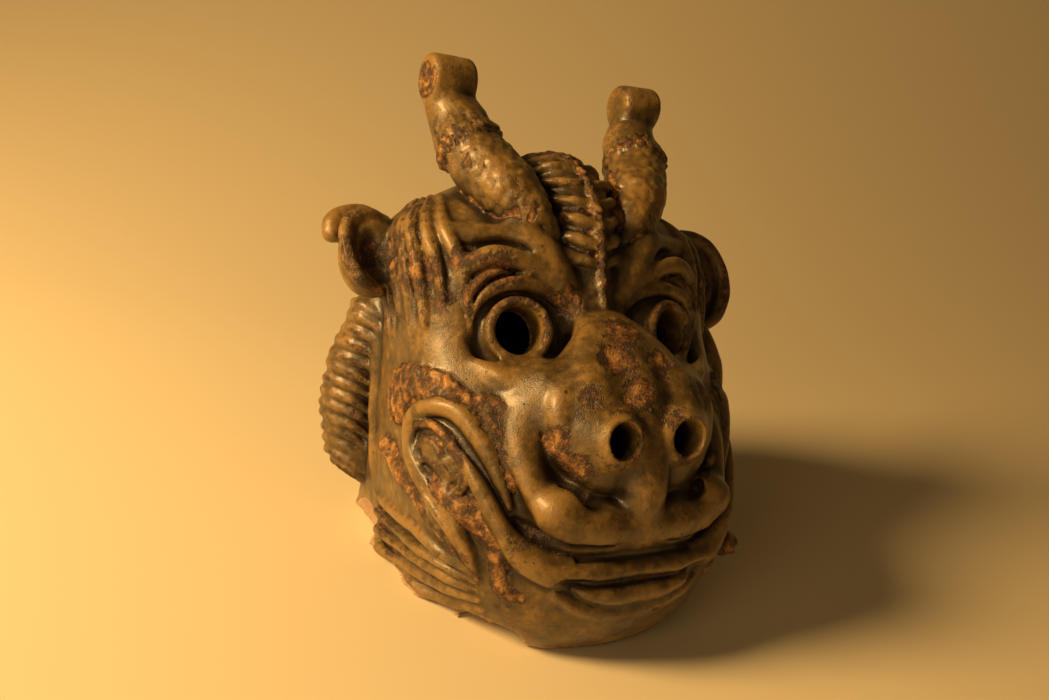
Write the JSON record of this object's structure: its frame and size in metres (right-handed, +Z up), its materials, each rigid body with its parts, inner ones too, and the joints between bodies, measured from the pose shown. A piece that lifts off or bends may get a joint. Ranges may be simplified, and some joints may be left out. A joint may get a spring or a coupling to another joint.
{
  "type": "ridge beast ornament",
  "caption": "Hollow glazed stoneware head of a horned ridge beast, broken off at the neck, with pierced eyes, curled horn tips, folded ears and a combed mane.",
  "frame": {"origin": "the middle of the head's box on the flat break at the neck that it stands on", "axes": "+Z up, -Y the way the face looks, +X to the beast's left ear, which is on the viewer's right"},
  "size_m": [0.125, 0.122, 0.1376],
  "materials": {
    "glazed_stoneware": "glossy olive tan celadon glaze over stoneware, rust brown where it is thin on raised edges, dark in the grooves, bare red brown clay inside"
  },
  "bodies": {
    "root": {"ridge_beast_head": "glazed_stoneware"}
  },
  "joints": []
}
